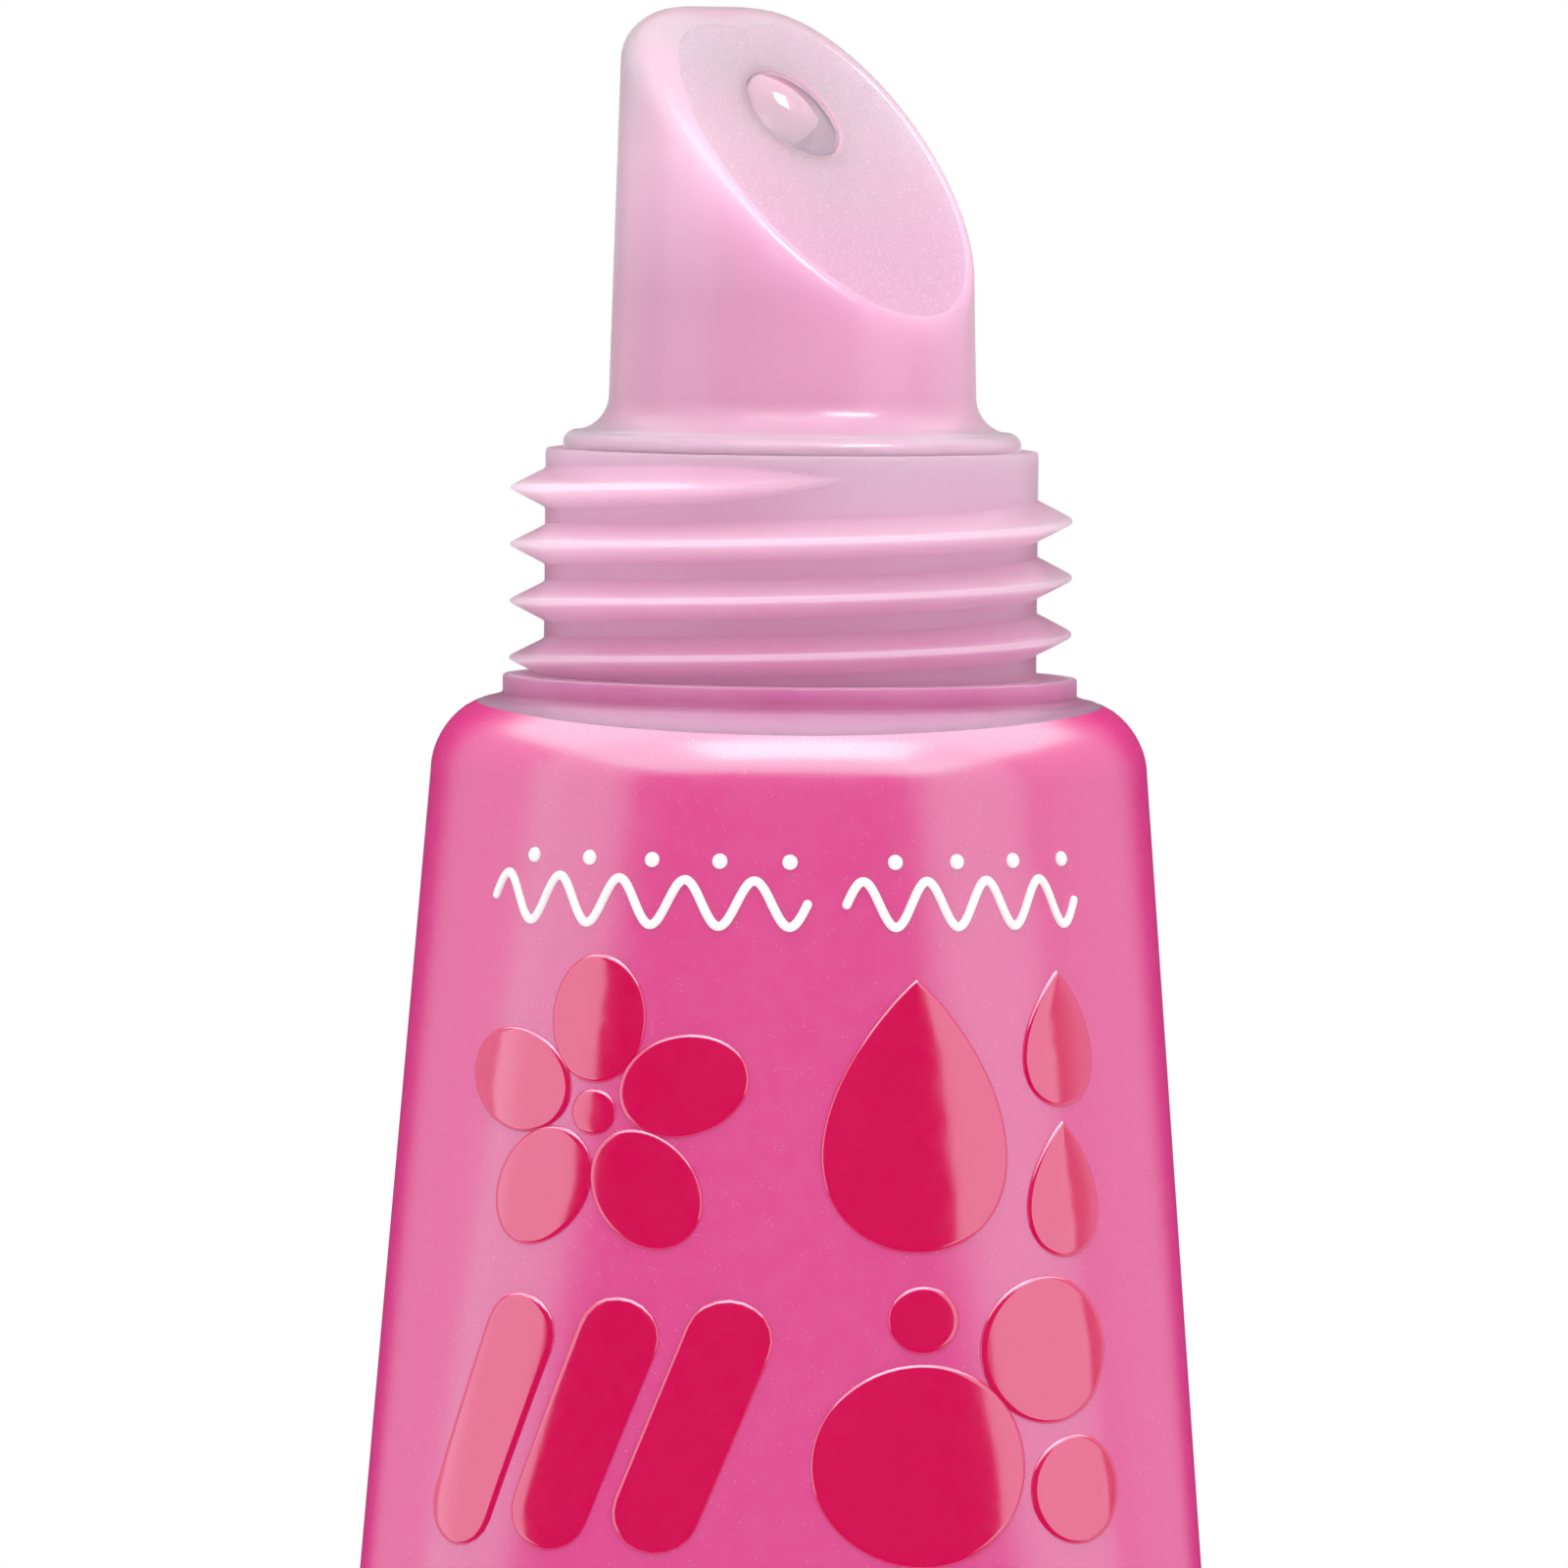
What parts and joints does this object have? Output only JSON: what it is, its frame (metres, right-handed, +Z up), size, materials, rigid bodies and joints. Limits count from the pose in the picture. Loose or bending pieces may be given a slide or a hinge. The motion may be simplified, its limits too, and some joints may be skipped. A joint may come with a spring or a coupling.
{
  "type": "lip gloss tube",
  "caption": "Soft squeeze tube for lip gloss with a slanted applicator tip on a threaded neck, and a screw cap that comes off.",
  "frame": {"origin": "centre of the cap's flat end, on the axis of the tube, where the cap stands with the tube held above it, tip down", "axes": "+Z up along the tube's axis, from the cap's flat end to the sealed end of the sleeve; the sealed end is widest along X; -Y is the printed front"},
  "size_m": [0.0298, 0.019, 0.1208],
  "materials": {
    "pearl_sleeve": "pearly pink with a fine sparkle, soft gloss",
    "clear_neck": "translucent natural polyethylene, tinted by the gloss inside",
    "satin_tip": "translucent soft polyethylene, satin, with a fine grain on the slanted face",
    "gloss": "wet pink gel",
    "cap_gloss": "high gloss magenta",
    "cap_inner": "satin pink",
    "liner_foam": "white expanded polyethylene"
  },
  "bodies": {
    "tube": {"sleeve": "pearl_sleeve", "threaded_head": "clear_neck", "applicator_tip": "satin_tip", "gloss_fill": "gloss", "tip_gloss": "gloss"},
    "cap_carriage": {"cap_liner": "liner_foam"},
    "cap": {"cap_shell": "cap_gloss", "cap_core": "cap_inner"}
  },
  "joints": [
    {"name": "cap_travel", "type": "slide", "parent": "tube", "child": "cap_carriage", "axis": [0, 0, 1], "range_m": [0, 0.021]},
    {"name": "cap_turn", "type": "hinge", "parent": "cap_carriage", "child": "cap", "pos_m": [0, 0, 0], "axis": [0, 0, 1], "range_deg": [0, 5040]}
  ],
  "couplings": [
    {"joint": "cap_travel", "follows": "cap_turn", "m_per_rad": 0.00023873}
  ]
}
